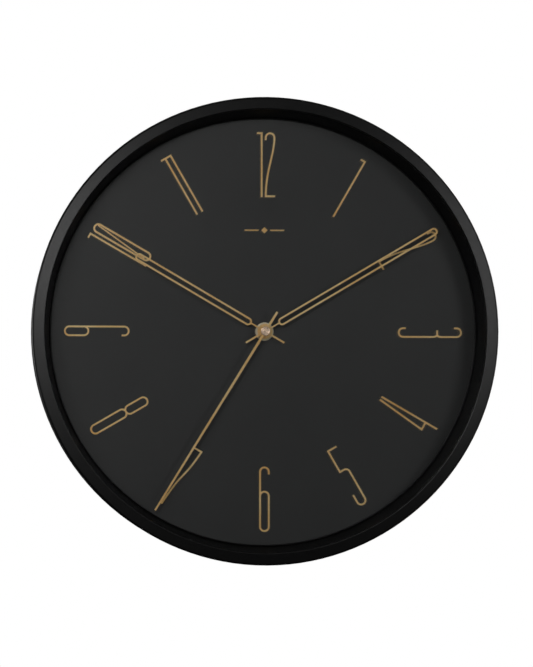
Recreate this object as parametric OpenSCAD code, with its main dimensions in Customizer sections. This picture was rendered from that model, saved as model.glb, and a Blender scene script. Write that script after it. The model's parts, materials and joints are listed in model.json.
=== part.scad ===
// Round wall clock: a deep steel drum with a slim rim, a flat charcoal dial with applied
// outline numerals, open loop hands, and a battery movement with its whole wheel train.
// Row frame: +X to the right of the dial, +Z up towards twelve, -Y out of the wall.
// The origin is on the hands' axis, in the plane of the wall.
// Every piece is drawn on the face, with x right, y up and z out of the wall, and
// on_face() stands it up in the row frame. All sizes are in millimetres.

/* [Case] */
// Outside diameter of the case
case_diameter = 350; // [300:1:420]
// Depth of the case, from the wall to the front of its rim
case_depth = 48; // [40:1:60]
// Width of the rim, seen from the front
rim_width = 9.6; // [6:0.1:14]
// How far the rim's face falls back from its inner edge to its shoulder
rim_fall = 1.4; // [0:0.1:3]
// Radius of the rim's outer shoulder
shoulder_radius = 2.2; // [1.6:0.1:4]
// Thickness of the case's steel sheet
sheet = 1; // [0.6:0.1:1.4]
// Depth of the inner lip that the glass rests on
lip_depth = 4; // [3:0.5:7]
// Height of the hem folded inside the rear edge
hem_height = 5; // [3:0.5:8]
// Number of tongues bent in behind the retaining wire
tongue_count = 6; // [3:1:12]
// Width of a tongue
tongue_width = 7; // [4:0.5:12]
// Reach of a tongue from the drum's wall
tongue_reach = 3; // [2:0.5:5]

/* [Glass, dial and back] */
// Thickness of the glass
glass_thickness = 2; // [1.5:0.1:3]
// Wall of the spacer ring between the glass and the dial
spacer_wall = 1.5; // [1:0.1:2.5]
// How much the spacer ring narrows, in radius, from the glass to the dial
spacer_taper = 3.9; // [2:0.1:9]
// Diameter of the round bead at the foot of the spacer ring
bead = 1.1; // [0.6:0.1:2]
// Thickness of the dial sheet
dial_thickness = 0.8; // [0.4:0.1:1.5]
// Thickness of the backing board
board_thickness = 3; // [2.5:0.1:4]
// Diameter of the retaining wire
wire_diameter = 2.4; // [1.6:0.1:3]
// Angle of the gap in the retaining wire, in degrees
wire_gap = 12; // [4:1:30]
// Clearance between the drum's wall and what sits inside it
seat_clearance = 0.4; // [0.2:0.1:1]

/* [Numerals] */
// Height of a numeral along the dial's radius
numeral_height = 49.1; // [30:0.1:60]
// Gap from the numerals' outer ends to the visible edge of the dial
numeral_margin = 10.8; // [4:0.1:20]
// Width of a numeral's stroke
numeral_stroke = 1.35; // [0.8:0.05:2]
// Width of a round figure, between its stroke centres
figure_width = 6.6; // [5:0.1:8]
// Thickness of the applied metal
numeral_thickness = 0.6; // [0.3:0.1:1.2]
// Distance from the numerals' inner ends in to the small ornament
ornament_drop = 25.1; // [12:0.1:40]
// Length of the ornament
ornament_length = 30; // [16:1:40]

/* [Hands] */
// Gap from the hour hand's tip to the visible edge of the dial
hour_hand_gap = 48.8; // [30:0.1:70]
// Gap from the minute hand's tip to the visible edge of the dial
minute_hand_gap = 9.5; // [2:0.1:20]
// Gap from the second hand's tip to the visible edge of the dial
second_hand_gap = 4; // [1.5:0.1:20]
// Width of the strip that outlines the hour and minute hands
hand_strip = 1.35; // [0.9:0.05:2]
// Width of a hand's loop, between its strip centres
hand_loop = 4.6; // [3.5:0.1:7]
// Distance from the axis to the near end of a loop
loop_start = 12.5; // [9:0.5:20]
// Width of the neck between boss and loop
neck_width = 1.1; // [0.8:0.1:2]
// Length of each hand's tail, from the axis
tail_length = 17; // [10:0.5:30]
// Thickness of the hands' sheet
hand_sheet = 0.5; // [0.3:0.1:0.8]
// Diameter of the hour hand's boss
hour_boss = 11.4; // [9.5:0.1:14]
// Diameter of the minute hand's boss
minute_boss = 9.2; // [7:0.1:12]
// Diameter of the second hand's cap
cap_diameter = 7; // [5:0.1:9]
// Height of the second hand's cap
cap_height = 1.2; // [0.6:0.1:2]
// Air between one hand and the collar of the next
hand_air = 0.9; // [0.6:0.1:1.5]
// Clock angle of the hour hand at rest, in degrees
hour_angle = 300.3; // [0:0.1:360]
// Clock angle of the minute hand at rest, in degrees
minute_angle = 59.4; // [0:0.1:360]
// Clock angle of the second hand at rest, in degrees
second_angle = 211.7; // [0:0.1:360]

/* [Centre fixing] */
// Outside diameter of the movement's bush
bush_diameter = 8; // [7.4:0.1:10]
// Clearance around the bush in everything it passes through
bush_clearance = 0.2; // [0.1:0.05:0.5]
// Diameter of the washer on the dial
washer_diameter = 13.8; // [12.5:0.1:20]
// Thickness of the washer on the dial
washer_thickness = 0.5; // [0.3:0.1:1]
// Width of the nut across its flats
nut_width = 11; // [10.5:0.1:13]
// Thickness of the nut
nut_thickness = 2; // [1.2:0.1:3]
// Thickness of the rubber gasket behind the board
gasket_thickness = 0.5; // [0.3:0.1:1]
// Diameter of the rubber gasket
gasket_diameter = 30; // [20:1:40]

/* [Movement] */
// Diameter of the battery
battery_diameter = 14.5; // [12:0.1:17.5]
// Length of the battery's can
battery_length = 49.5; // [41:0.1:60]
// Wall of the movement's housing
housing_wall = 1.2; // [1:0.1:1.6]
// Air between the wall and the back of the housing
wall_gap = 2.8; // [2.4:0.1:5]
// Tooth module of the seconds pinion and the third wheel, which sets the train's scale
tooth_module = 0.36; // [0.3:0.01:0.44]
// Outside diameter of the hour pipe
hour_pipe = 5; // [4.6:0.1:5.6]
// Outside diameter of the minute pipe
minute_pipe = 3.5; // [3.1:0.1:3.9]
// Diameter of the seconds arbor
seconds_arbor = 1; // [0.8:0.05:1.4]
// Radial clearance of every turning fit
running_clearance = 0.05; // [0.02:0.01:0.08]
// Diameter of the setting knob
knob_diameter = 11; // [8:0.5:14]
// Thickness of the setting knob
knob_thickness = 2; // [1.5:0.1:2.2]

/* [Hanger] */
// Distance from the top of the case down to the keyhole's round end
hanger_drop = 40; // [30:1:60]
// Height of the hanger plate
hanger_height = 26; // [20:1:40]
// Width of the raised part of the hanger plate
hanger_width = 40; // [26:1:60]
// Width of each foot of the hanger plate
hanger_foot = 11; // [9:0.5:16]
// How far the hanger plate stands behind the board
hanger_rise = 9; // [6:0.5:12]
// Thickness of the hanger's steel
hanger_sheet = 1.2; // [0.8:0.1:2]
// Diameter of the keyhole's round end, which a screw head passes
keyhole_diameter = 9; // [7:0.5:10]
// Width of the keyhole's slot, which a screw's shank rests in
keyhole_slot = 4.4; // [3:0.1:5]
// Length of the keyhole's slot above the round end's centre
keyhole_length = 9; // [7:0.5:11]
// Diameter of a screw's shank
screw_diameter = 2.9; // [2.2:0.1:3.5]
// Diameter of a screw's head
screw_head = 5.6; // [4.5:0.1:7]

/* [Hidden] */
$fn = 96;
cut = 1;  // how far a cutting shape runs past the face it opens
sink = 0.1;  // how far one shape of a piece sinks into the next, so that they fuse

// the stack, from the wall outwards
battery_room = 0.3;  // in front of the battery and behind it
bay_clearance = 0.5;  // above the battery and below it
housing_depth = housing_wall + battery_diameter + 2 * battery_room;
z_housing = wall_gap;
z_housing_front = z_housing + housing_depth;
z_board = z_housing_front + gasket_thickness;
z_dial_back = z_board + board_thickness;
z_dial = z_dial_back + dial_thickness;
z_nut = z_dial + washer_thickness;
z_bush_end = z_nut + nut_thickness + 0.5;
collar_height = 0.8;
z_hour = z_bush_end + 0.4 + collar_height;
z_minute = z_hour + hand_sheet + hand_air + collar_height;
z_second = z_minute + hand_sheet + hand_air + collar_height;
z_cap = z_second + hand_sheet;
z_glass_front = case_depth - lip_depth;
z_glass = z_glass_front - glass_thickness;

// radii of the drum and of what sits in it
case_r = case_diameter / 2;
drum_r = case_r - sheet;
seat_r = drum_r - seat_clearance;
rim_r = case_r - rim_width;
dial_r = rim_r - spacer_taper;

// the numerals' ring
numeral_r = dial_r - numeral_margin - numeral_height / 2;
half_height = (numeral_height - numeral_stroke) / 2;
figure_r = figure_width / 2;

// the centre
bush_r = bush_diameter / 2;
hour_pipe_r = hour_pipe / 2;
minute_pipe_r = minute_pipe / 2;
arbor_r = seconds_arbor / 2;
collar_wall = 1.1;

// tooth counts: rotor to seconds 30:1, seconds to minutes 60:1, minutes to hours 12:1
rotor_teeth = 10;
intermediate_teeth = 50;
intermediate_pinion = 10;
seconds_teeth = 60;
seconds_pinion = 8;
third_teeth = 60;
third_pinion = 8;
centre_teeth = 64;
cannon_teeth = 12;
minute_teeth = 36;
minute_pinion = 10;
hour_teeth = 40;

pressure_angle = 20;
backlash = 0.1;  // how much each side of a tooth is thinned, as a share of its module

// tooth modules, each pair's set by the train's scale
scale_t = tooth_module / 0.36;
third_distance = tooth_module * (seconds_pinion + third_teeth) / 2;
centre_module = 2 * third_distance / (third_pinion + centre_teeth);
seconds_module = 0.34 * scale_t;
rotor_module = 0.25 * scale_t;
cannon_module = 0.5 * scale_t;
minute_distance = cannon_module * (cannon_teeth + minute_teeth) / 2;
hour_module = 2 * minute_distance / (minute_pinion + hour_teeth);
intermediate_distance = seconds_module * (seconds_teeth + intermediate_pinion) / 2;
rotor_distance = rotor_module * (rotor_teeth + intermediate_teeth) / 2;

// directions from the axis, in degrees, and the arbors' places on the face
third_direction = 150;
intermediate_direction = 60;
third_at = third_distance * [cos(third_direction), sin(third_direction)];
intermediate_at = intermediate_distance * [cos(intermediate_direction), sin(intermediate_direction)];
rotor_at = intermediate_at + [rotor_distance, 0];
minute_at = [minute_distance, 0];

// the gear room and the battery bay, side by side in the housing
room_half = 27 * scale_t;
room_top = 24.4 * scale_t;
room_bottom = -11.8 * scale_t;
room_floor = z_housing + housing_wall;
room_ceiling = z_housing_front - housing_wall;
bay_half = battery_length / 2 + 2.6;
bay_top = room_bottom - housing_wall;
battery_y = bay_top - bay_clearance - battery_diameter / 2;
bay_bottom = battery_y - bay_clearance - battery_diameter / 2;
battery_z = z_housing + battery_room + battery_diameter / 2;
housing_half = max(room_half, bay_half) + housing_wall;
housing_top = room_top + housing_wall;
housing_bottom = bay_bottom - housing_wall;
cover_fit = 0.1;

// heights in the gear room, from the cover's inner face, in steps of the room's depth
level = (room_ceiling - room_floor) / 13.1;
wheel_thickness = 0.7 * level;
z_board_pcb = room_floor + 0.8 * level;
pcb_thickness = 0.8 * level;
z_intermediate = room_floor + 2 * level;
z_seconds = room_floor + 3.7 * level;
z_stator = room_floor + 4.2 * level;
z_third = room_floor + 5.3 * level;
z_centre = room_floor + 7.1 * level;
z_bridge = room_floor + 8.4 * level;
z_minute_wheel = room_floor + 9.5 * level;
z_hour_wheel = room_floor + 11.3 * level;
bridge_thickness = 0.6 * level;
pinion_rim = 0.2 * level;  // how far a pinion stands past the wheel it drives
z_cannon = z_minute_wheel - pinion_rim;
z_cannon_end = z_minute_wheel + wheel_thickness + pinion_rim;
z_clutch_end = z_cannon + wheel_thickness;

// the friction clutch between the centre wheel's hub and the cannon pinion
clutch_r = 1.35;
clutch_gap = 0.15;

// the setting arbor and its knob
setting_r = arbor_r + 0.1;
z_knob_front = z_housing - 0.2;
z_knob = z_knob_front - knob_thickness + 0.6;

// the motor: its coil fills the narrower of its two rooms, below the bridge and beside the wall
core_width = 2.4;
core_thickness = 0.8 * level;
z_core = z_stator + core_thickness;
z_coil = z_core + core_thickness / 2;
coil_at = [23.6, 7] * scale_t;
coil_length = 20 * scale_t;
coil_clearance = 0.2;
flange_r = min(z_bridge - z_coil, room_half - coil_at.x - coil_clearance);
bobbin_r = flange_r - 0.4 * level;

// where the contact strips reach the circuit board, and their sheet
contact_x = -19 * scale_t;
contact_sheet = 0.4;
pcb_x = -19.5 * scale_t;

// the hanger
hanger_y = case_r - hanger_drop;
z_hanger = z_board - hanger_rise - hanger_sheet;
screw_r = screw_diameter / 2;
foot_x = hanger_width / 2 + hanger_sheet + hanger_foot / 2;

// ---------- points and outlines ----------

function arc(centre, r, from, to, steps = 12) =
    [for (i = [0:steps]) let (a = from + (to - from) * i / steps) centre + r * [cos(a), sin(a)]];

function bezier(a, b, c, d, steps = 12) =
    [for (i = [1:steps]) let (t = i / steps, s = 1 - t)
        s * s * s * a + 3 * s * s * t * b + 3 * s * t * t * c + t * t * t * d];

function unit(v) = v / norm(v);
function left_of(v) = [-v.y, v.x];

// a path moved sideways, with mitred corners
function beside(path, distance) =
    [for (i = [0:len(path) - 1])
        let (last = len(path) - 1,
             arrive = unit(i > 0 ? path[i] - path[i - 1] : path[1] - path[0]),
             leave = unit(i < last ? path[i + 1] - path[i] : path[last] - path[last - 1]),
             n = left_of(arrive) + left_of(leave))
        path[i] + 2 * distance * n / (n * n)];

function backwards(points) = [for (i = [len(points) - 1:-1:0]) points[i]];

function loop_edge(x, y0, y1, r, edge) =
    concat(arc([x, y1 - r], edge, 0, 180, 16), arc([x, y0 + r], edge, 180, 360, 16));

function rounded_box(x0, x1, y0, y1, r) = concat(
    arc([x1 - r, y1 - r], r, 0, 90, 6),
    arc([x0 + r, y1 - r], r, 90, 180, 6),
    arc([x0 + r, y0 + r], r, 180, 270, 6),
    arc([x1 - r, y0 + r], r, 270, 360, 6));

// an involute's polar angle at radius rho, in degrees
function involute(rho, base) =
    rho <= base ? 0 : sqrt(pow(rho / base, 2) - 1) * 180 / PI - acos(base / rho);

// one tooth's side: [radius, half angle] from root to tip, thinned for backlash
function tooth_side(teeth, pitch_module, addendum, dedendum) =
    let (pitch = teeth * pitch_module / 2,
         base = pitch * cos(pressure_angle),
         root = pitch - dedendum * pitch_module,
         tip = pitch + addendum * pitch_module,
         half = 90 / teeth - backlash * pitch_module / pitch * 180 / PI + involute(pitch, base))
    [for (rho = [root, max(base, root + 0.01), pitch, tip]) [rho, half - involute(rho, base)]];

// a gear's outline, with one tooth centred at the angle phase
function gear_outline(teeth, pitch_module, phase, addendum, dedendum) =
    let (flank = tooth_side(teeth, pitch_module, addendum, dedendum))
    [for (i = [0:teeth - 1]) let (centre = phase + 360 * i / teeth)
        each concat(
            [for (p = flank) p[0] * [cos(centre - p[1]), sin(centre - p[1])]],
            [for (p = backwards(flank)) p[0] * [cos(centre + p[1]), sin(centre + p[1])]])];

// ---------- shared shapes, on the face ----------

module on_face() { rotate([90, 0, 0]) children(); }

module slab(z0, z1) { translate([0, 0, z0]) linear_extrude(z1 - z0) children(); }

module disc(r, z0, z1) { translate([0, 0, z0]) cylinder(r = r, h = z1 - z0); }

module hole(r, z0, z1) { disc(r, z0 - cut, z1 + cut); }

module ring(outer, inner, z0, z1) {
    difference() {
        disc(outer, z0, z1);
        hole(inner, z0, z1);
    }
}

module at(place) { translate([place.x, place.y, 0]) children(); }

module strip(path, width) {
    polygon(concat(beside(path, width / 2), backwards(beside(path, -width / 2))));
}

// a closed loop with round ends, given by its strip's centre line
module loop(x, y0, y1, r, width) {
    outer = loop_edge(x, y0, y1, r, r + width / 2);
    inner = loop_edge(x, y0, y1, r, r - width / 2);
    count = len(outer);
    polygon(concat(outer, inner), [for (start = [0, count]) [for (i = [0:count - 1]) start + i]]);
}

// a wheel's few long teeth: short tips, deep roots; a pinion's are the other way round
module wheel(teeth, pitch_module, phase, z0, z1) {
    slab(z0, z1) polygon(gear_outline(teeth, pitch_module, phase, 0.5, 1.15));
}

module pinion(teeth, pitch_module, phase, z0, z1) {
    slab(z0, z1) polygon(gear_outline(teeth, pitch_module, phase, 0.9, 0.75));
}

// ---------- case, glass, dial and back ----------

// the drum's section: wall, shoulder, rim face, inner lip and rear hem
module case_section() {
    shoulder = [case_r - shoulder_radius, case_depth - rim_fall - shoulder_radius];
    inner_r = shoulder_radius - sheet;
    edge = [rim_r + sheet, case_depth - sheet];
    polygon(concat(
        [[case_r, 0]],
        arc(shoulder, shoulder_radius, 0, 82, 8),
        arc(edge, sheet, 98, 180, 6),
        [[rim_r, z_glass_front], [rim_r + sheet, z_glass_front], edge],
        arc(shoulder, inner_r, 82, 0, 6),
        [[drum_r, hem_height], [drum_r - sheet, hem_height], [drum_r - sheet, 0]]));
}

module case_ring() {
    color("#1b1b1c") on_face() {
        rotate_extrude($fn = 180) case_section();
        z_tongue = z_board - wire_diameter - sheet - 0.1;
        for (i = [0:tongue_count - 1]) rotate(360 * (i + 0.5) / tongue_count)
            translate([drum_r - tongue_reach, -tongue_width / 2, z_tongue])
                cube([tongue_reach + sheet / 2, tongue_width, sheet]);
    }
}

module glass_lens() {
    color("#dfe6e8", 0.25) on_face() disc(seat_r, z_glass, z_glass_front);
}

// a thin tapered wall with a flange under the glass and a foot with a bead on the dial
module spacer_ring() {
    bead_r = bead / 2;
    color("#121213") on_face() rotate_extrude($fn = 180) polygon(concat(
        [[rim_r, z_glass]],
        arc([dial_r - bead_r, z_dial + bead_r], bead_r, 0, 180, 8),
        [[dial_r - bead, z_dial],
        [seat_r, z_dial],
        [seat_r, z_dial + spacer_wall],
        [dial_r + spacer_wall + 0.4, z_dial + spacer_wall],
        [rim_r + spacer_wall, z_glass - spacer_wall],
        [seat_r, z_glass - spacer_wall],
        [seat_r, z_glass]]));
}

module dial_plate() {
    color("#2c2d2f") on_face() ring(seat_r, bush_r + bush_clearance, z_dial_back, z_dial);
}

module backing_board() {
    color("#6f5239") on_face() difference() {
        ring(seat_r, bush_r + bush_clearance, z_board, z_dial_back);
        screw_places() hole(screw_r + 0.1, z_board, z_dial_back - cut - 0.4);
    }
}

// a split ring of wire that lies behind the board and in front of the tongues
module retaining_wire() {
    wire_r = wire_diameter / 2;
    color("#9a9c9e") on_face() translate([0, 0, z_board - wire_r])
        rotate([0, 0, 90 + wire_gap / 2]) rotate_extrude(angle = 360 - wire_gap, $fn = 180)
            translate([drum_r - 0.15 - wire_r, 0]) circle(wire_r, $fn = 24);
}

module screw_places() {
    for (x = [-foot_x, foot_x]) for (y = [-1, 1])
        translate([x, hanger_y + y * hanger_height / 4, 0]) children();
}

// a raised strap with a keyhole, on two feet
module hanger_plate() {
    half = hanger_width / 2;
    foot = half + hanger_sheet + hanger_foot;
    color("#a7a9ab") on_face() difference() {
        translate([0, hanger_y + hanger_height / 2, 0]) rotate([90, 0, 0])
            linear_extrude(hanger_height) polygon([
                [-foot, z_board], [-foot, z_board - hanger_sheet],
                [-half - hanger_sheet, z_board - hanger_sheet], [-half - hanger_sheet, z_hanger],
                [half + hanger_sheet, z_hanger], [half + hanger_sheet, z_board - hanger_sheet],
                [foot, z_board - hanger_sheet], [foot, z_board],
                [half, z_board], [half, z_hanger + hanger_sheet],
                [-half, z_hanger + hanger_sheet], [-half, z_board]]);
        translate([0, hanger_y, 0]) {
            hole(keyhole_diameter / 2, z_hanger, z_hanger + hanger_sheet);
            translate([0, keyhole_length, 0])
                hole(keyhole_slot / 2, z_hanger, z_hanger + hanger_sheet);
            translate([-keyhole_slot / 2, 0, z_hanger - cut])
                cube([keyhole_slot, keyhole_length, hanger_sheet + 2 * cut]);
        }
        screw_places() hole(screw_r + 0.15, z_board - hanger_sheet, z_board);
    }
}

module hanger_screws() {
    head_height = 1.6;
    z_foot = z_board - hanger_sheet;
    color("#c9cbcc") on_face() screw_places() difference() {
        union() {
            disc(screw_head / 2, z_foot - head_height, z_foot);
            disc(screw_r, z_foot, z_dial_back - 0.6);
        }
        for (turn = [0, 90]) rotate(turn)
            translate([-1.4, -0.3, z_foot - head_height - cut]) cube([2.8, 0.6, cut + 0.8]);
    }
}

// ---------- numerals ----------

module stroke(path, width) {
    slab(z_dial, z_dial + numeral_thickness) strip(path, width);
}

module stroke_loop(x, y0, y1, r, width) {
    slab(z_dial, z_dial + numeral_thickness) loop(x, y0, y1, r, width);
}

// figures, drawn upright about their middle; numbers are offsets within the figure
module figure_one(x, flag = 3.6) {
    stroke([[x - flag, half_height], [x, half_height],
        [x, -half_height - numeral_stroke / 2]], numeral_stroke);
}

module figure_two(x) {
    top = half_height - figure_r;
    stroke(concat([[x, top - 1.9]], arc([x + figure_r, top], figure_r, 180, 0),
        bezier([x + figure_width, top], [x + figure_width, 0.33 * half_height],
            [x, -0.19 * half_height], [x, -half_height], 18),
        [[x + figure_width + 0.5, -half_height]]), numeral_stroke);
}

module figure_three() {
    right = figure_r + 0.3;
    middle = 0.233 * half_height;
    top = half_height - figure_r;
    stroke(concat([[right - figure_width, top - 2]], arc([0.3, top], figure_r, 180, 0),
        [[right, middle + 3.2]],
        bezier([right, middle + 3.2], [right, middle + 0.9], [right - 0.7, middle],
            [right - 2, middle], 8),
        [[-1.4, middle]]), numeral_stroke);
    stroke(concat([[0.4, middle], [right - 1.8, middle]],
        bezier([right - 1.8, middle], [right - 0.6, middle], [right, middle - 1.5],
            [right, middle - 4], 8),
        arc([0.3, -top], figure_r, 0, -180), [[right - figure_width, 2 - top]]), numeral_stroke);
}

module figure_four() {
    bar = -0.6 * half_height;
    tip = half_height + numeral_stroke / 2;
    stroke([[-0.4, tip], [-4, bar], [2.1, bar]], numeral_stroke);
    stroke([[2.1, tip], [2.1, -tip]], numeral_stroke);
}

module figure_five() {
    shelf = 0.243 * half_height;
    corner = 3;
    bowl = figure_r - half_height;
    stroke(concat([[4, half_height], [-figure_r, half_height], [-figure_r, shelf]],
        arc([figure_r - corner, shelf - corner], corner, 90, 0, 8),
        arc([0, bowl], figure_r, 0, -180), [[-figure_r, bowl + 6.4]]), numeral_stroke);
}

// a closed loop below the height join, with a stem up its left side that ends in a hook
module hooked_loop(join) {
    top = half_height - figure_r;
    stroke(concat([[figure_r, top - 2]], arc([0, top], figure_r, 0, 180),
        [[-figure_r, join - figure_width]]), numeral_stroke);
    stroke_loop(0, -half_height, join, figure_r, numeral_stroke);
}

module figure_seven() {
    turn = [0.6, 0.02 * half_height];
    stroke(concat([[-2.2, half_height], [4.2, half_height]],
        bezier([4.2, half_height], [3.6, 0.6 * half_height], [2.6, 0.33 * half_height], turn, 8),
        bezier(turn, [-0.9, -0.2 * half_height], [-1.6, -0.5 * half_height],
            [-2.6, -half_height - numeral_stroke / 2], 8)), numeral_stroke);
}

module figure_eight() {
    waist = 0.237 * half_height;
    stroke_loop(0.2, -half_height, waist, figure_r, numeral_stroke);
    stroke_loop(0.2, waist, half_height, figure_r, numeral_stroke);
}

// a nought with a fine slash
module figure_nought(x) {
    stroke_loop(x, -half_height, half_height, figure_r - 0.2, numeral_stroke);
    stroke([[x - 2.3, -0.86 * half_height], [x + 1.9, 0.93 * half_height]], 0.7 * numeral_stroke);
}

module figures(hour) {
    if (hour == 1) figure_one(1.8);
    if (hour == 2) figure_two(-2.6);
    if (hour == 3) figure_three();
    if (hour == 4) figure_four();
    if (hour == 5) figure_five();
    if (hour == 6) hooked_loop(0.237 * half_height);
    if (hour == 7) figure_seven();
    if (hour == 8) figure_eight();
    if (hour == 9) rotate(180) hooked_loop(-0.265 * half_height);
    if (hour == 10) {
        figure_one(-2.3);
        figure_nought(4.1);
    }
    if (hour == 11) {
        figure_one(0);
        figure_one(4.6, 4.6);
    }
    if (hour == 12) {
        figure_one(-2.1);
        figure_two(1);
    }
}

// the tops of four to eight point inwards, so that they read upright
module numeral(hour) {
    top_inwards = hour >= 4 && hour <= 8;
    color("#c8a065") on_face() rotate(-30 * hour) translate([0, numeral_r, 0])
        rotate(top_inwards ? 180 : 0) figures(hour);
}

// a small lozenge between two fine bars, below the twelve
module dial_ornament() {
    lozenge = 2.4;
    bar = numeral_stroke * 0.7;
    y = numeral_r - numeral_height / 2 - ornament_drop;
    color("#c8a065") on_face() translate([0, y, 0]) slab(z_dial, z_dial + numeral_thickness) {
        polygon([[-lozenge, 0], [0, -lozenge], [lozenge, 0], [0, lozenge]]);
        for (side = [-1, 1]) translate([side * (ornament_length / 4 + lozenge / 2 + 1), 0])
            square([ornament_length / 2 - lozenge - 2, bar], center = true);
    }
}

// ---------- hands ----------

// a hand whose loop points to twelve: boss, neck, loop and tail, with a collar behind
module loop_hand(length, boss, pipe_r, z) {
    slab(z, z + hand_sheet) difference() {
        union() {
            circle(boss / 2);
            translate([-neck_width / 2, 0]) square([neck_width, loop_start + hand_strip / 2]);
            loop(0, loop_start, length - hand_strip / 2, hand_loop / 2, hand_strip);
            translate([-hand_strip / 2, -tail_length]) square([hand_strip, tail_length]);
        }
        circle(pipe_r);
    }
    ring(pipe_r + collar_wall, pipe_r, z - collar_height, z);
}

module hour_hand() {
    color("#c8a065") on_face() rotate(-hour_angle)
        loop_hand(dial_r - hour_hand_gap, hour_boss, hour_pipe_r, z_hour);
}

module minute_hand() {
    color("#c8a065") on_face() rotate(-minute_angle)
        loop_hand(dial_r - minute_hand_gap, minute_boss, minute_pipe_r, z_minute);
}

// a slim taper with a shorter, broader tail
module second_hand() {
    tip = dial_r - second_hand_gap;
    color("#c8a065") on_face() rotate(-second_angle) {
        slab(z_second, z_second + hand_sheet) difference() {
            union() {
                polygon([[-0.95, 0], [-0.7, tip], [0.7, tip], [0.95, 0],
                    [0.85, -tail_length], [-0.85, -tail_length]]);
                circle(cap_diameter / 2 - 0.5);
            }
            circle(arbor_r);
        }
        ring(arbor_r + 0.7, arbor_r, z_second - collar_height, z_second);
    }
}

// a low round cap with a turned edge, pressed on the second hand
module second_cap() {
    cap_r = cap_diameter / 2;
    soft = 0.4;
    color("#d2ab78") on_face() rotate_extrude() polygon(concat(
        [[0, z_cap], [cap_r, z_cap]],
        arc([cap_r - soft, z_cap + cap_height - soft], soft, 0, 90, 6),
        [[0, z_cap + cap_height]]));
}

// ---------- centre fixing ----------

module gasket() {
    color("#2a2a2a") on_face()
        ring(gasket_diameter / 2, bush_r + bush_clearance, z_housing_front, z_board);
}

module dial_washer() {
    color("#d9c79c") on_face()
        ring(washer_diameter / 2, bush_r + bush_clearance, z_dial, z_nut);
}

module bush_nut() {
    color("#d9c79c") on_face() difference() {
        translate([0, 0, z_nut]) cylinder(d = nut_width / cos(30), h = nut_thickness, $fn = 6);
        hole(bush_r + 0.02, z_nut, z_nut + nut_thickness);
    }
}

// ---------- movement: housing ----------

// an open box with a gear room and a battery bay, and the bush on its front
module movement_shell() {
    notch = 3;
    color("#222426") on_face() difference() {
        union() {
            slab(z_housing, z_housing_front) polygon(rounded_box(-housing_half, housing_half,
                housing_bottom, housing_top, 3));
            disc(bush_r, z_housing_front, z_bush_end);
        }
        slab(z_housing - cut, room_ceiling) polygon(rounded_box(-room_half, room_half,
            room_bottom, room_top, 1));
        translate([-bay_half, bay_bottom, z_housing - cut])
            cube([2 * bay_half, bay_top - bay_bottom, room_ceiling - z_housing + cut]);
        hole(hour_pipe_r + running_clearance, room_ceiling, z_bush_end);
        // a way for the contact strips from the bay to the circuit board
        translate([contact_x - notch, bay_top - cut, z_board_pcb])
            cube([2 * notch, housing_wall + 2 * cut, 3 * level]);
    }
}

module post_places() {
    for (x = [-1, 1]) for (y = [room_bottom + 2, room_top - 2])
        translate([x * (room_half - 1.5), y, 0]) children();
}

// the room's lid: it carries the rear bearings and four posts under the bridge
module movement_cover() {
    bearing_r = arbor_r + running_clearance;
    pivot = 0.6;
    color("#26282a") on_face() difference() {
        union() {
            slab(z_housing, room_floor) polygon(rounded_box(cover_fit - room_half,
                room_half - cover_fit, room_bottom + cover_fit, room_top - cover_fit, 1));
            post_places() disc(1, z_housing, z_bridge);
            for (place = [[0, 0], third_at, intermediate_at, rotor_at])
                at(place) disc(bearing_r + 0.9, z_housing, room_floor + 0.9 * level);
        }
        for (place = [[0, 0], third_at, intermediate_at, rotor_at])
            at(place) disc(bearing_r, room_floor - pivot, room_floor + cut + 0.9 * level);
        at(minute_at) hole(setting_r + running_clearance, z_housing, room_floor);
    }
}

// a thin plate with the front bearings, between the train and the motion work
module train_bridge() {
    bearing_r = arbor_r + running_clearance;
    top = z_bridge + bridge_thickness;
    color("#b9bcbd") on_face() difference() {
        slab(z_bridge, top) polygon(rounded_box(cover_fit - room_half, room_half - cover_fit,
            room_bottom + cover_fit, room_top - cover_fit, 1));
        hole(clutch_r + running_clearance, z_bridge, top);
        for (place = [third_at, intermediate_at, rotor_at]) at(place)
            hole(bearing_r, z_bridge, top);
        at(minute_at) hole(setting_r + running_clearance, z_bridge, top);
    }
}

// a strip of board along the left side on two lugs, with its blob of resin and a pad
module circuit_board() {
    z_top = z_board_pcb + pcb_thickness;
    color("#2d6a3c") on_face() {
        slab(z_board_pcb, z_top) translate([-24 * scale_t, -8 * scale_t])
            square([9, 28] * scale_t);
        translate([pcb_x, 3 * scale_t, 0]) disc(2.4 * scale_t, z_top - sink, z_top + level);
        translate([pcb_x, 12 * scale_t, 0]) disc(0.8, z_top - sink, z_top + 0.4 * level);
        for (y = [-6, 18]) translate([pcb_x, y * scale_t, 0])
            disc(1.2, room_floor, z_board_pcb + sink);
    }
}

module quartz_crystal() {
    crystal_r = 0.9 * level;
    z_top = z_board_pcb + pcb_thickness;
    color("#c4c7c9") on_face() translate([-17 * scale_t, 13.5 * scale_t, z_top + crystal_r])
        rotate([-90, 0, 0]) cylinder(r = crystal_r, h = 5.6 * scale_t, $fn = 32);
}

// ---------- movement: motor ----------

module lie_along_y(length) { rotate([90, 0, 0]) translate([0, 0, -length / 2]) children(); }

// a wound bobbin with two flanges, around the core
module coil() {
    flange = 1;
    color("#a5562c") on_face() translate([coil_at.x, coil_at.y, z_coil]) difference() {
        lie_along_y(coil_length) {
            cylinder(r = bobbin_r, h = coil_length);
            for (z = [0, coil_length - flange]) translate([0, 0, z])
                cylinder(r = flange_r, h = flange);
        }
        cube([core_width + 0.1, coil_length + 2, core_thickness + 0.1], center = true);
    }
}

module coil_core() {
    color("#8d9092") on_face() translate([coil_at.x, coil_at.y, z_coil])
        cube([core_width, coil_length + 8 * scale_t, core_thickness], center = true);
}

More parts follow.
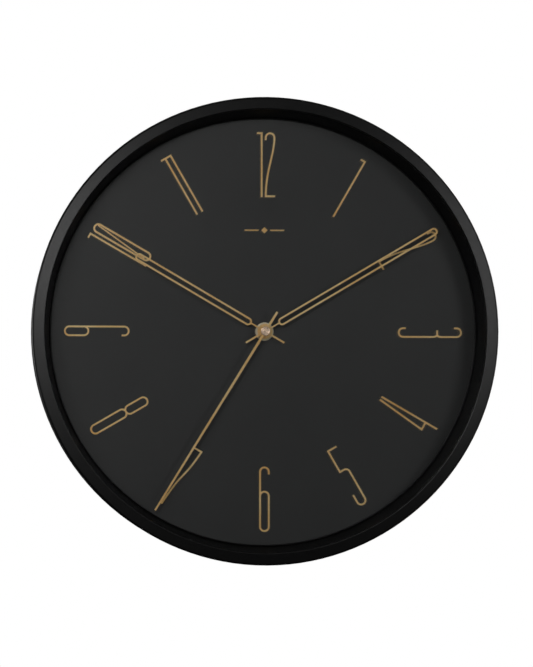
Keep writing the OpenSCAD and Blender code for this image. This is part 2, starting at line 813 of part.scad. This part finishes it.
// one plate with a round gap for the rotor and two arms out to the core's ends
module stator() {
    arm = 2.8;
    end = coil_length / 2 + 2.6 * scale_t;
    run = rotor_at.x + 5.2 * scale_t;
    color("#9da0a2") on_face() difference() {
        union() {
            at(rotor_at) slab(z_stator, z_core) square(8.4 * scale_t, center = true);
            slab(z_stator, z_core) strip([[rotor_at.x, rotor_at.y + 3 * scale_t],
                [rotor_at.x, coil_at.y + end], [coil_at.x + arm / 2, coil_at.y + end]], arm);
            slab(z_stator, z_core) strip([[rotor_at.x + 3 * scale_t, rotor_at.y - 2 * scale_t],
                [run, rotor_at.y - 2 * scale_t],
                [run, coil_at.y - end], [coil_at.x + arm / 2, coil_at.y - end]], arm);
        }
        at(rotor_at) hole(3.6 * scale_t, z_stator, z_core);
    }
}

// ---------- movement: battery and contacts ----------

// a cylindrical cell that lies along x, its button to the right
module battery() {
    button = 1;
    color("#3c4a63") on_face() translate([-battery_length / 2, battery_y, battery_z])
        rotate([0, 90, 0]) {
            cylinder(d = battery_diameter, h = battery_length);
            cylinder(d = 5.5, h = battery_length + button);
        }
}

// a leaf at one end of the cell, a strip in the bay's corner and a tab on the circuit board
module contact(leaf_x, tab_x) {
    leaf = 8;
    leaf_height = 9;
    strip_y = bay_top - bay_clearance;
    strip_z = z_board_pcb + pcb_thickness;
    left = min(leaf_x, tab_x);
    right = max(leaf_x + contact_sheet, tab_x + 1);
    color("#cdb368") on_face() {
        translate([leaf_x, battery_y - leaf / 2, z_housing + battery_room])
            cube([contact_sheet, strip_y - battery_y + leaf / 2 + contact_sheet, leaf_height]);
        translate([left, strip_y, strip_z]) cube([right - left, contact_sheet, 1]);
        translate([tab_x, strip_y, strip_z])
            cube([1, -8 * scale_t - strip_y + 1.5, contact_sheet]);
    }
}

module contact_plus() { contact(battery_length / 2 + 1.2, contact_x + 1); }

module contact_minus() { contact(-battery_length / 2 - 0.2 - contact_sheet, contact_x - 2); }

// ---------- movement: wheel train ----------

// a magnet on a steel arbor, with the driving pinion
module rotor() {
    color("#5d6064") on_face() at(rotor_at) {
        disc(arbor_r, room_floor - 0.5, z_bridge + bridge_thickness);
        disc(3 * scale_t, z_seconds - 0.3 * level, z_core + level);
        pinion(rotor_teeth, rotor_module, 180 + 180 / rotor_teeth,
            z_intermediate - pinion_rim, z_intermediate + wheel_thickness + pinion_rim);
    }
}

module intermediate_wheel() {
    color("#e6e2d6") on_face() at(intermediate_at) {
        disc(arbor_r, room_floor - 0.5, z_bridge + bridge_thickness);
        wheel(intermediate_teeth, rotor_module, 0, z_intermediate, z_intermediate + wheel_thickness);
        pinion(intermediate_pinion, seconds_module,
            intermediate_direction + 180 + 180 / intermediate_pinion,
            z_seconds - pinion_rim, z_seconds + wheel_thickness + pinion_rim);
        disc(1, z_intermediate, z_seconds);
    }
}

// its arbor runs out through both pipes and carries the second hand
module seconds_wheel() {
    color("#e6e2d6") on_face() {
        disc(arbor_r, room_floor - 0.5, z_cap);
        wheel(seconds_teeth, seconds_module, intermediate_direction,
            z_seconds, z_seconds + wheel_thickness);
        pinion(seconds_pinion, tooth_module, third_direction,
            z_third - pinion_rim, z_third + wheel_thickness + pinion_rim);
        disc(1, z_seconds, z_third);
    }
}

module third_wheel() {
    color("#e6e2d6") on_face() at(third_at) {
        disc(arbor_r, room_floor - 0.5, z_bridge + bridge_thickness);
        wheel(third_teeth, tooth_module, third_direction + 180 + 180 / third_teeth,
            z_third, z_third + wheel_thickness);
        pinion(third_pinion, centre_module, third_direction + 180,
            z_centre - pinion_rim, z_centre + wheel_thickness + pinion_rim);
        disc(1, z_third, z_centre);
    }
}

// it turns once an hour and drives the cannon pinion through a slipping hub
module centre_wheel() {
    color("#c9a35c") on_face() difference() {
        union() {
            wheel(centre_teeth, centre_module, third_direction + 180 / centre_teeth,
                z_centre, z_centre + wheel_thickness);
            disc(clutch_r, z_centre, z_clutch_end);
        }
        hole(arbor_r + running_clearance, z_centre, z_clutch_end);
    }
}

// the minute pipe, with the pinion that drives the motion work
module cannon_pinion() {
    color("#d4b469") on_face() difference() {
        union() {
            pinion(cannon_teeth, cannon_module, 0, z_cannon, z_cannon_end);
            disc(minute_pipe_r, z_clutch_end, z_minute + hand_sheet);
        }
        hole(arbor_r + running_clearance, z_cannon, z_minute + hand_sheet);
        disc(clutch_r + clutch_gap, z_cannon - cut, z_clutch_end + 0.1);
    }
}

// between minutes and hours, on a long arbor that the setting knob turns
module minute_wheel() {
    color("#e6e2d6") on_face() at(minute_at) {
        disc(setting_r - running_clearance, z_knob,
            z_hour_wheel + wheel_thickness + pinion_rim);
        wheel(minute_teeth, cannon_module, 180 + 180 / minute_teeth,
            z_minute_wheel, z_minute_wheel + wheel_thickness);
        pinion(minute_pinion, hour_module, 180,
            z_hour_wheel - pinion_rim, z_hour_wheel + wheel_thickness + pinion_rim);
        disc(1.2, z_minute_wheel, z_hour_wheel);
    }
}

// a knurled disc behind the housing, for setting the time
module setting_knob() {
    ribs = 20;
    rib_r = 0.45;
    color("#1d1f20") on_face() at(minute_at) difference() {
        disc(knob_diameter / 2, z_knob_front - knob_thickness, z_knob_front);
        for (i = [0:ribs - 1]) rotate(360 * i / ribs)
            translate([knob_diameter / 2, 0, 0])
                hole(rib_r, z_knob_front - knob_thickness, z_knob_front, $fn = 16);
        disc(setting_r - running_clearance, z_knob, z_knob_front + cut);
    }
}

// the hour pipe runs in the bush, on the minute pipe
module hour_wheel() {
    color("#e6e2d6") on_face() difference() {
        union() {
            wheel(hour_teeth, hour_module, 180 / hour_teeth,
                z_hour_wheel, z_hour_wheel + wheel_thickness);
            disc(hour_pipe_r, z_hour_wheel, z_hour + hand_sheet);
        }
        hole(minute_pipe_r + running_clearance, z_hour_wheel, z_hour + hand_sheet);
    }
}

case_ring();
glass_lens();
spacer_ring();
dial_plate();
dial_ornament();
numeral(1);  // numeral_1
numeral(2);  // numeral_2
numeral(3);  // numeral_3
numeral(4);  // numeral_4
numeral(5);  // numeral_5
numeral(6);  // numeral_6
numeral(7);  // numeral_7
numeral(8);  // numeral_8
numeral(9);  // numeral_9
numeral(10);  // numeral_10
numeral(11);  // numeral_11
numeral(12);  // numeral_12
backing_board();
retaining_wire();
hanger_plate();
hanger_screws();
gasket();
dial_washer();
bush_nut();
movement_shell();
movement_cover();
train_bridge();
circuit_board();
quartz_crystal();
coil();
coil_core();
stator();
contact_plus();
contact_minus();
battery();
rotor();
intermediate_wheel();
seconds_wheel();
third_wheel();
centre_wheel();
cannon_pinion();
minute_wheel();
setting_knob();
hour_wheel();
hour_hand();
minute_hand();
second_hand();
second_cap();
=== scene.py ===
"""Looks for the round wall clock: materials, finer pieces, lights and the camera.

Everything is in metres, in the frame of the CAD model: +X to the right of the dial, +Z up towards
twelve, -Y out of the wall.
"""
import json
import math

import bmesh
import bpy
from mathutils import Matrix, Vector


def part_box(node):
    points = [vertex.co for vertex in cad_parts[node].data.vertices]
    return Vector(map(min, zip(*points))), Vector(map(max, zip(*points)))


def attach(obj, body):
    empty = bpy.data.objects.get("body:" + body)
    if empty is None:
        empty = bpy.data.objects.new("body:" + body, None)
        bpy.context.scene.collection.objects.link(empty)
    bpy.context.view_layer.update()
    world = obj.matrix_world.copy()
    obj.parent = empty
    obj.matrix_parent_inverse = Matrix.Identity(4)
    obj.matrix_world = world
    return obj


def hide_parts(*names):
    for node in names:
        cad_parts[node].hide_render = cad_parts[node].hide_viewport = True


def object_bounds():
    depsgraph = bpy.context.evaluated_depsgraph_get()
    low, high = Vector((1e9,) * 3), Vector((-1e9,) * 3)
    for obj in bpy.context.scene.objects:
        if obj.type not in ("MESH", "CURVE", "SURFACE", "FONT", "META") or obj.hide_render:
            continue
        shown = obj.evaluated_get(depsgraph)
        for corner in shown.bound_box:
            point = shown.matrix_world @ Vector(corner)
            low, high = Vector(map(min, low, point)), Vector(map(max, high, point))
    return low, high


MM = 0.001

# the camera's angles in degrees: a little from the left and from below
CAMERA_AZIMUTH = -5.85
CAMERA_ELEVATION = -2.2
CAMERA_DISTANCE = 2.0
SENSOR_WIDTH = 36  # in millimetres
FRAME_WIDTH = 0.3969  # how much of the rim's plane the picture's width takes in
AIM = Vector((-0.0009, 0.0, -0.0024))  # picture's middle on the rim's plane, from the axis

# name, place, width and height, and power in watts of each soft light
LIT_MIDDLE = (0, -0.03, 0)
SOFT_LIGHTS = (
    ("softbox_left", (-1.18, -1.62, 0.36), (0.5, 0.9), 4.1),
    ("softbox_right", (1.18, -1.62, 0.32), (0.5, 0.8), 5.2),
    ("softbox_front", (-0.62, -2.2, 0.5), (0.6, 0.35), 7.8),
    ("softbox_back", (0.6, 1.8, 1.2), (1.4, 1.4), 14.0),
    ("edge_left", (-1.5, 0.9, 0.15), (0.5, 0.8), 6.0),
    ("edge_right", (1.5, 0.9, 0.15), (0.5, 0.8), 6.0),
)
ROOM_LIGHT = 0.02  # how strongly the white room around the clock lights it
FLOOR_SIZE = 8
FLOOR_HEIGHT = -0.95
FLOOR_GLOW = 0.6

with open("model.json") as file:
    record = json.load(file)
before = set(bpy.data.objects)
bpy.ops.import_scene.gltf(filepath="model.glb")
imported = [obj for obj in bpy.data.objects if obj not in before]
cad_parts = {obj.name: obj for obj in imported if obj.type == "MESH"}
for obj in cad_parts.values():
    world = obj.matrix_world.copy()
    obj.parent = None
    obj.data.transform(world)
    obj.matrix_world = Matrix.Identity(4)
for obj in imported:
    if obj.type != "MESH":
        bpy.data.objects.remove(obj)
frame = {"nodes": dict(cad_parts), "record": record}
cad_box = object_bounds()
nodes = frame["nodes"]


# ---------- materials ----------

def new_material(name):
    material = bpy.data.materials.new(name)
    material.use_nodes = True
    tree = material.node_tree
    return material, tree, tree.nodes["Principled BSDF"]


def coordinates(tree, stretch=(1, 1, 1)):
    """Object coordinates, scaled along each axis, so that a grain can run one way."""
    place = tree.nodes.new("ShaderNodeTexCoord")
    mapping = tree.nodes.new("ShaderNodeMapping")
    mapping.inputs["Scale"].default_value = stretch
    tree.links.new(place.outputs["Object"], mapping.inputs["Vector"])
    return mapping.outputs["Vector"]


def noise(tree, vector, scale, detail=4.0, roughness=0.55):
    node = tree.nodes.new("ShaderNodeTexNoise")
    node.inputs["Scale"].default_value = scale
    node.inputs["Detail"].default_value = detail
    node.inputs["Roughness"].default_value = roughness
    tree.links.new(vector, node.inputs["Vector"])
    return node.outputs["Fac"]


def ramp(tree, factor, stops):
    """Colours at their places along a factor from 0 to 1."""
    node = tree.nodes.new("ShaderNodeValToRGB")
    elements = node.color_ramp.elements
    while len(elements) < len(stops):
        elements.new(0.5)
    for element, (position, colour) in zip(elements, stops):
        element.position = position
        element.color = (*colour, 1)
    tree.links.new(factor, node.inputs["Fac"])
    return node.outputs["Color"]


def spread(tree, factor, low, high):
    """The middle half of a noise's range, spread from low to high."""
    node = tree.nodes.new("ShaderNodeMapRange")
    node.inputs["From Min"].default_value = 0.25
    node.inputs["From Max"].default_value = 0.75
    node.inputs["To Min"].default_value = low
    node.inputs["To Max"].default_value = high
    tree.links.new(factor, node.inputs["Value"])
    return node.outputs["Result"]


def bump(tree, shader, height, depth):
    node = tree.nodes.new("ShaderNodeBump")
    node.inputs["Distance"].default_value = depth
    node.inputs["Strength"].default_value = 1.0
    tree.links.new(height, node.inputs["Height"])
    tree.links.new(node.outputs["Normal"], shader.inputs["Normal"])


def surface(name, dark, light, rough, metallic=0.0, cloud=40.0, grain=1500.0, depth=0.00003,
            stretch=(1, 1, 1), coat=0.0, specular=0.5):
    """A solid finish: cloudy colour between dark and light, uneven roughness, a fine raised grain."""
    material, tree, shader = new_material(name)
    plain = coordinates(tree)
    along = coordinates(tree, stretch)
    clouds = noise(tree, plain, cloud)
    fine = noise(tree, along, grain, detail=3.0)
    colour = ramp(tree, clouds, [(0.3, dark), (0.7, light)])
    tree.links.new(colour, shader.inputs["Base Color"])
    tree.links.new(spread(tree, noise(tree, along, grain * 0.3), rough[0], rough[1]),
                   shader.inputs["Roughness"])
    shader.inputs["Metallic"].default_value = metallic
    shader.inputs["Coat Weight"].default_value = coat
    shader.inputs["Coat Roughness"].default_value = 0.25
    shader.inputs["Specular IOR Level"].default_value = specular
    bump(tree, shader, fine, depth)
    return material


def clear_glass():
    material, tree, shader = new_material("clear_glass")
    shader.inputs["Base Color"].default_value = (0.95, 0.98, 0.98, 1)
    shader.inputs["Transmission Weight"].default_value = 1.0
    shader.inputs["IOR"].default_value = 1.5
    shader.inputs["Alpha"].default_value = 0.07
    smears = noise(tree, coordinates(tree), 9.0, detail=2.0)
    tree.links.new(spread(tree, smears, 0.01, 0.04), shader.inputs["Roughness"])
    material.surface_render_method = "BLENDED"
    return material


def hardboard():
    """Pressed fibre: short pale and dark flecks over a warm brown, with a soft leathery grain."""
    material, tree, shader = new_material("hardboard")
    plain = coordinates(tree)
    flecks = noise(tree, coordinates(tree, (1, 1, 0.35)), 900.0, detail=6.0, roughness=0.75)
    clouds = noise(tree, plain, 30.0)
    mix = tree.nodes.new("ShaderNodeMix")
    mix.data_type = "RGBA"
    mix.inputs["Factor"].default_value = 0.5
    tree.links.new(ramp(tree, flecks, [(0.3, (0.10, 0.055, 0.028)), (0.5, (0.22, 0.135, 0.075)),
                                       (0.7, (0.36, 0.25, 0.15))]), mix.inputs["A"])
    tree.links.new(ramp(tree, clouds, [(0.3, (0.17, 0.10, 0.055)), (0.7, (0.25, 0.155, 0.09))]),
                   mix.inputs["B"])
    tree.links.new(mix.outputs["Result"], shader.inputs["Base Color"])
    tree.links.new(spread(tree, flecks, 0.55, 0.8), shader.inputs["Roughness"])
    bump(tree, shader, flecks, 0.00008)
    return material


def turned(name, dark, light, rough, metallic):
    """Lathe-turned metal: fine rings about the hands' axis over a clouded colour."""
    material, tree, shader = new_material(name)
    plain = coordinates(tree)
    rings = tree.nodes.new("ShaderNodeTexWave")
    rings.wave_type = "RINGS"
    rings.rings_direction = "Y"
    rings.inputs["Scale"].default_value = 900.0
    rings.inputs["Distortion"].default_value = 0.6
    rings.inputs["Detail"].default_value = 2.0
    tree.links.new(plain, rings.inputs["Vector"])
    tree.links.new(ramp(tree, rings.outputs["Fac"], [(0.1, dark), (0.9, light)]),
                   shader.inputs["Base Color"])
    tree.links.new(spread(tree, noise(tree, plain, 600.0), rough[0], rough[1]),
                   shader.inputs["Roughness"])
    shader.inputs["Metallic"].default_value = metallic
    bump(tree, shader, rings.outputs["Fac"], 0.00002)
    return material


BLACK_STEEL = surface("black_steel", (0.0010, 0.0010, 0.0011), (0.0016, 0.0016, 0.0017),
                      (0.34, 0.44), cloud=18, grain=2200, depth=0.00003)
BLACK_PLASTIC = surface("black_plastic", (0.0008, 0.0008, 0.0009), (0.0014, 0.0014, 0.0015),
                        (0.30, 0.42), cloud=25, grain=2600, depth=0.00002, specular=0.3)
CHARCOAL = surface("charcoal_paint", (0.0190, 0.0197, 0.0194), (0.0237, 0.0246, 0.0241),
                   (0.40, 0.48), cloud=14, grain=2400, depth=0.00003)
GOLD = surface("gold_satin", (0.88, 0.52, 0.17), (1.0, 0.76, 0.38), (0.24, 0.40), metallic=0.2,
               cloud=34, grain=3500, depth=0.00001)
PALE_BRASS = surface("pale_brass", (0.80, 0.70, 0.50), (0.92, 0.84, 0.66), (0.26, 0.38),
                     metallic=0.5, cloud=150, grain=3000, depth=0.00001)
RUBBER = surface("black_rubber", (0.020, 0.020, 0.020), (0.032, 0.032, 0.032), (0.7, 0.85),
                 grain=1200, depth=0.00005)
SPRING_STEEL = surface("spring_steel", (0.40, 0.41, 0.42), (0.52, 0.53, 0.54), (0.25, 0.4),
                       metallic=1.0, grain=1800, depth=0.00001)
ZINC_STEEL = surface("zinc_steel", (0.50, 0.51, 0.52), (0.64, 0.65, 0.66), (0.25, 0.42),
                     metallic=1.0, cloud=220, grain=900, depth=0.00001, stretch=(1, 1, 0.06))
MOULDED_BLACK = surface("movement_plastic", (0.014, 0.0145, 0.016), (0.022, 0.023, 0.025),
                        (0.42, 0.58), cloud=60, grain=1600, depth=0.00005)
ALUMINIUM = surface("bridge_aluminium", (0.58, 0.59, 0.60), (0.70, 0.71, 0.72), (0.28, 0.4),
                    metallic=1.0, grain=700, depth=0.00001, stretch=(0.08, 1, 1))
LAMINATE = surface("green_laminate", (0.020, 0.12, 0.045), (0.030, 0.17, 0.065), (0.3, 0.4),
                   grain=900, depth=0.00002, coat=0.3)
CRYSTAL_CAN = surface("crystal_can", (0.62, 0.63, 0.64), (0.74, 0.75, 0.76), (0.12, 0.2),
                      metallic=1.0, grain=2500, depth=0.000005)
WINDING = surface("copper_winding", (0.30, 0.085, 0.025), (0.46, 0.15, 0.05), (0.3, 0.45),
                  metallic=0.4, cloud=300, grain=6000, depth=0.00004, stretch=(0.05, 0.05, 1))
MOTOR_IRON = surface("motor_iron", (0.25, 0.26, 0.27), (0.36, 0.37, 0.38), (0.3, 0.5),
                     metallic=1.0, grain=1500, depth=0.00002)
CONTACT_BRASS = surface("contact_brass", (0.55, 0.41, 0.17), (0.68, 0.52, 0.24), (0.25, 0.4),
                        metallic=1.0, grain=1500, depth=0.00001)
MAGNET = surface("magnet", (0.10, 0.105, 0.11), (0.15, 0.155, 0.16), (0.35, 0.55), metallic=0.8,
                 grain=1500, depth=0.00003)
ACETAL = surface("white_plastic", (0.70, 0.68, 0.60), (0.80, 0.78, 0.70), (0.35, 0.5),
                 cloud=80, grain=2500, depth=0.00001)
SLEEVE = surface("battery_sleeve", (0.010, 0.018, 0.045), (0.016, 0.028, 0.07), (0.2, 0.3),
                 cloud=60, grain=1500, depth=0.000005, coat=0.6)
SLEEVE_BAND = surface("battery_band", (0.36, 0.39, 0.42), (0.46, 0.49, 0.52), (0.2, 0.3),
                      cloud=60, grain=1500, depth=0.000005, coat=0.6)
# the second hand's cap: its turned rings are real, but its pale pinkish colour, lighter than the
# hands' gold, is a painted highlight
CAP_BRASS_PAINTED_HIGHLIGHT = turned("cap_brass_painted_highlight", (0.92, 0.62, 0.40), (1.0, 0.82, 0.66), (0.22, 0.34), 0.5)
GLASS = clear_glass()
HARDBOARD = hardboard()

BY_SLOT = {
    "black_steel": BLACK_STEEL, "clear_glass": GLASS, "black_plastic": BLACK_PLASTIC,
    "charcoal_paint": CHARCOAL, "gold_brass": GOLD, "pale_brass": PALE_BRASS,
    "brown_board": HARDBOARD, "spring_steel": SPRING_STEEL, "zinc_steel": ZINC_STEEL,
    "black_rubber": RUBBER, "movement_plastic": MOULDED_BLACK, "bridge_aluminium": ALUMINIUM,
    "green_laminate": LAMINATE, "crystal_can": CRYSTAL_CAN, "copper_winding": WINDING,
    "motor_iron": MOTOR_IRON, "contact_brass": CONTACT_BRASS, "battery_sleeve": SLEEVE,
    "magnet": MAGNET, "white_plastic": ACETAL,
}
BY_NODE = {"second_cap": CAP_BRASS_PAINTED_HIGHLIGHT}  # nodes whose finish differs from the rest of their slot; the second cap's lighter pinkish colour is a painted highlight


def dress_nodes():
    """Give every CAD node the material of its slot in the record."""
    for part in frame["record"]["subparts"]:
        piece = nodes[part["node"]]
        for slot in piece.material_slots:
            slot.material = BY_NODE.get(part["node"], BY_SLOT[part["material_slot"]])


def soften(names, width):
    """Round the sharp edges of CAD nodes a little, as real sheet and mouldings are."""
    for name in names:
        modifier = nodes[name].modifiers.new("soft_edges", "BEVEL")
        modifier.width = width
        modifier.segments = 2
        modifier.limit_method = "ANGLE"
        modifier.angle_limit = math.radians(35)


dress_nodes()
NUMERALS = [f"numeral_{hour}" for hour in range(1, 13)]
soften(NUMERALS + ["dial_ornament"], 0.15 * MM)
soften(["hour_hand", "minute_hand", "second_hand"], 0.12 * MM)
soften(["second_cap", "bush_nut", "dial_washer"], 0.1 * MM)
soften(["movement_shell", "hanger_plate"], 0.25 * MM)


# ---------- finer pieces at the back ----------

def add_piece(name, shell, material, smooth=False):
    """Make a bmesh an object that rides on the case and wears a slot's finish."""
    bmesh.ops.recalc_face_normals(shell, faces=shell.faces)
    mesh = bpy.data.meshes.new(name)
    for face in shell.faces:
        face.smooth = smooth
    shell.to_mesh(mesh)
    shell.free()
    if smooth:
        mesh.set_sharp_from_angle(angle=math.radians(40))
    mesh.materials.append(material)
    piece = bpy.data.objects.new(name, mesh)
    bpy.context.scene.collection.objects.link(piece)
    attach(piece, "clock_case")
    return piece


def lathe(profile, centre, closed=False, steps=72):
    """Turn points of (place along X, radius), in mm from centre, into a closed skin.

    A point with no radius closes an end, and closed joins the last point to the first.
    """
    shell = bmesh.new()
    rows = []
    for along, radius in profile:
        turns = range(steps if radius else 1)
        rows.append([shell.verts.new(centre + Vector((
            along, radius * math.cos(math.tau * turn / steps),
            radius * math.sin(math.tau * turn / steps))) * MM) for turn in turns])
    pairs = zip(rows, rows[1:] + rows[:1]) if closed else zip(rows, rows[1:])
    for near, far in pairs:
        for turn in range(steps):
            corners = [near[turn % len(near)], near[(turn + 1) % steps % len(near)],
                       far[(turn + 1) % steps % len(far)], far[turn % len(far)]]
            shell.faces.new(list(dict.fromkeys(corners)))
    return shell


def raise_outline(shell, outline, foot, height):
    """Raise a closed outline of (x, z) points by height towards the wall, from the foot's plane."""
    lower = [shell.verts.new((x, foot, z)) for x, z in outline]
    upper = [shell.verts.new((x, foot + height, z)) for x, z in outline]
    shell.faces.new(lower)
    shell.faces.new(upper)
    for here in range(len(outline)):
        there = (here + 1) % len(outline)
        shell.faces.new((lower[here], lower[there], upper[there], upper[here]))


def raise_band(shell, inner, outer, foot, height):
    """Raise the band between two closed outlines with as many points each."""
    rows = [[shell.verts.new((x, y, z)) for x, z in outline]
            for outline, y in ((inner, foot), (inner, foot + height),
                               (outer, foot + height), (outer, foot))]
    for near, far in zip(rows, rows[1:] + rows[:1]):
        for here in range(len(near)):
            there = (here + 1) % len(near)
            shell.faces.new((near[here], near[there], far[there], far[here]))


def round_box(low, high, corner, steps=6):
    """A rectangle in x and z with round corners, as a list of points."""
    points = []
    for x, z, start in ((high[0], high[1], 0), (low[0], high[1], 90),
                        (low[0], low[1], 180), (high[0], low[1], 270)):
        x += -corner if x == high[0] else corner
        z += -corner if z == high[1] else corner
        for step in range(steps + 1):
            angle = math.radians(start + 90 * step / steps)
            points.append((x + corner * math.cos(angle), z + corner * math.sin(angle)))
    return points


def arc_points(centre, radius, start, end, steps):
    """Points in x and z along an arc from one angle in degrees to another."""
    return [(centre[0] + radius * math.cos(math.radians(start + (end - start) * step / steps)),
             centre[1] + radius * math.sin(math.radians(start + (end - start) * step / steps)))
            for step in range(steps + 1)]


def battery():
    """A dry cell: a steel can with a nub and a sunk foot, in a printed sleeve with a band."""
    low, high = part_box("battery")
    nub = 1.0
    half = (high.x - low.x) / MM / 2 - nub / 2
    radius = (high.z - low.z) / MM / 2
    centre = Vector((low.x + half * MM, (low.y + high.y) / 2, (low.z + high.z) / 2))
    foot = [(-half, 0), (-half, 4.2), (-half + 0.15, 4.5), (-half + 0.35, 5.0),
            (-half + 0.35, 5.6), (-half + 0.1, 6.1), (-half + 0.25, 6.6),
            (-half + 0.7, radius - 0.25)]
    head = [(half - 0.7, radius - 0.25), (half - 0.25, 6.6), (half - 0.1, 6.1),
            (half - 0.4, 5.5), (half - 0.45, 3.0), (half - 0.1, 2.75),
            (half + nub - 0.2, 2.7), (half + nub, 2.4), (half + nub, 0)]
    can = add_piece("battery_can", lathe(foot + head, centre), ZINC_STEEL,
                    smooth=True)
    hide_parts("battery")

    # the sleeve's skin is rolled over the cell's two ends and cut square where the band begins
    skin, lap = 0.2, 0.75
    inner = radius - skin
    seam = 0.26 * half
    rolled = [(0.15, 6.5), (0.05, 6.8), (0.5, radius)]
    square = [(0, inner), (0, radius - skin / 2), (0, radius)]
    sleeve = ([(-half + x, r) for x, r in rolled] + [(seam - x, r) for x, r in reversed(square)]
              + [(seam - lap, inner), (-half + lap, inner)])
    band = ([(seam + x, r) for x, r in square] + [(half - x, r) for x, r in reversed(rolled)]
            + [(half - lap, inner), (seam + lap, inner)])
    for name, outline, material in (("battery_sleeve", sleeve, SLEEVE),
                                    ("battery_band", band, SLEEVE_BAND)):
        add_piece(name, lathe(outline, centre, closed=True), material,
                  smooth=True)


def cover_mouldings():
    """Raised marks of the moulded cover: a frame, pin marks, polarity signs and an arrow."""
    low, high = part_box("movement_cover")
    foot = high.y - 0.05 * MM
    rise = 0.4 * MM
    shell = bmesh.new()

    inset, line, corner = 1.4 * MM, 0.7 * MM, 1.9 * MM
    raise_band(shell,
               round_box((low.x + inset + line, low.z + inset + line),
                         (high.x - inset - line, high.z - inset - line), corner - line),
               round_box((low.x + inset, low.z + inset),
                         (high.x - inset, high.z - inset), corner), foot, rise)

    # a plus on the side of the cell's nub, and a minus on the other
    arm, bar = 1.5 * MM, 0.35 * MM
    sign_x, sign_z = 20.5 * MM, low.z + 5.2 * MM
    plus = ((1, 0, 0, -1), (1, 0, 0, 1), (0, 0, 1, 1), (0, 1, 1, 0), (0, 1, -1, 0), (0, 0, -1, 1),
            (-1, 0, 0, 1), (-1, 0, 0, -1), (0, 0, -1, -1), (0, -1, -1, 0), (0, -1, 1, 0),
            (0, 0, 1, -1))
    raise_outline(shell, [(sign_x + x * arm + u * bar, sign_z + z * arm + v * bar)
                          for x, z, u, v in plus], foot, rise)
    raise_outline(shell, round_box((-sign_x - arm, sign_z - bar), (-sign_x + arm, sign_z + bar),
                                   0.2 * MM), foot, rise)

    # an arrow along an arc around the setting knob
    knob_low, knob_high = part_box("setting_knob")
    knob = ((knob_low.x + knob_high.x) / 2, (knob_low.z + knob_high.z) / 2)
    reach = (knob_high.x - knob_low.x) / 2 + 2.2 * MM
    tail, tip, head_length, points = 160, 62, 16, 20
    head = [(knob[0] + r * math.cos(math.radians(a)), knob[1] + r * math.sin(math.radians(a)))
            for r, a in ((reach + 2 * line, tip), (reach + line / 2, tip - head_length),
                         (reach - line, tip))]
    raise_outline(shell, arc_points(knob, reach + line, tail, tip, points) + head
                  + arc_points(knob, reach, tip, tail, points), foot, rise)

    pin_inner, pin_outer, pin_rise = 1.7 * MM, 2.1 * MM, 0.25 * MM
    for x, z in ((-14, 14), (-14, 2), (2, 18)):
        ring = [arc_points((x * MM, z * MM), r, 0, 350, 35) for r in (pin_inner, pin_outer)]
        raise_band(shell, ring[0], ring[1], foot, pin_rise)
    add_piece("cover_mouldings", shell, MOULDED_BLACK)


battery()
cover_mouldings()


# ---------- light, floor and camera ----------

def area_light(name, place, size, watts):
    """A soft rectangular light that faces the clock."""
    data = bpy.data.lights.new(name, "AREA")
    data.shape = "RECTANGLE"
    data.size, data.size_y = size
    data.energy = watts
    light = bpy.data.objects.new(name, data)
    bpy.context.scene.collection.objects.link(light)
    light.location = place
    facing = Vector(LIT_MIDDLE) - Vector(place)
    light.rotation_euler = facing.to_track_quat("-Z", "Y").to_euler()


def background(tree, strength):
    node = tree.nodes.new("ShaderNodeBackground")
    node.inputs["Color"].default_value = (1, 1, 1, 1)
    node.inputs["Strength"].default_value = strength
    return node.outputs["Background"]


def white_room():
    """A room that the camera sees as white and that lights the clock only a little."""
    world = bpy.data.worlds.new("studio")
    bpy.context.scene.world = world
    world.use_nodes = True
    tree = world.node_tree
    tree.nodes.clear()
    path = tree.nodes.new("ShaderNodeLightPath")
    mix = tree.nodes.new("ShaderNodeMixShader")
    out = tree.nodes.new("ShaderNodeOutputWorld")
    tree.links.new(path.outputs["Is Camera Ray"], mix.inputs["Fac"])
    tree.links.new(background(tree, ROOM_LIGHT), mix.inputs[1])
    tree.links.new(background(tree, 1.0), mix.inputs[2])
    tree.links.new(mix.outputs["Shader"], out.inputs["Surface"])


def floor():
    """A floor that is pale by itself, and throws no light up onto the dark case."""
    bpy.ops.mesh.primitive_plane_add(size=FLOOR_SIZE, location=(0, 0, FLOOR_HEIGHT))
    plane = bpy.context.object
    plane.name = "floor"
    finish = surface("pale_floor", (0.80, 0.80, 0.80), (0.84, 0.84, 0.84), (0.6, 0.8), cloud=3,
                     grain=60, depth=0.0001)
    shader = finish.node_tree.nodes["Principled BSDF"]
    shader.inputs["Emission Color"].default_value = (1, 1, 1, 1)
    shader.inputs["Emission Strength"].default_value = FLOOR_GLOW
    plane.data.materials.append(finish)
    plane.visible_diffuse = False
    plane.visible_glossy = False


def camera():
    """A camera that looks at the rim's plane, with FRAME_WIDTH of it across the picture."""
    rim_y = cad_box[0][1]
    azimuth, elevation = math.radians(CAMERA_AZIMUTH), math.radians(CAMERA_ELEVATION)
    towards = Vector((math.sin(azimuth) * math.cos(elevation),
                      -math.cos(azimuth) * math.cos(elevation), math.sin(elevation)))
    target = Vector((0, rim_y, 0)) + AIM
    data = bpy.data.cameras.new("camera")
    data.sensor_width = SENSOR_WIDTH
    data.sensor_fit = "HORIZONTAL"
    data.lens = SENSOR_WIDTH * CAMERA_DISTANCE / FRAME_WIDTH
    data.clip_end = 10 * CAMERA_DISTANCE
    eye = bpy.data.objects.new("camera", data)
    bpy.context.scene.collection.objects.link(eye)
    eye.location = target + towards * CAMERA_DISTANCE
    eye.rotation_euler = (-towards).to_track_quat("-Z", "Y").to_euler()
    bpy.context.scene.camera = eye


white_room()
for soft_light in SOFT_LIGHTS:
    area_light(*soft_light)
floor()
bpy.context.scene.view_settings.view_transform = "Standard"
camera()
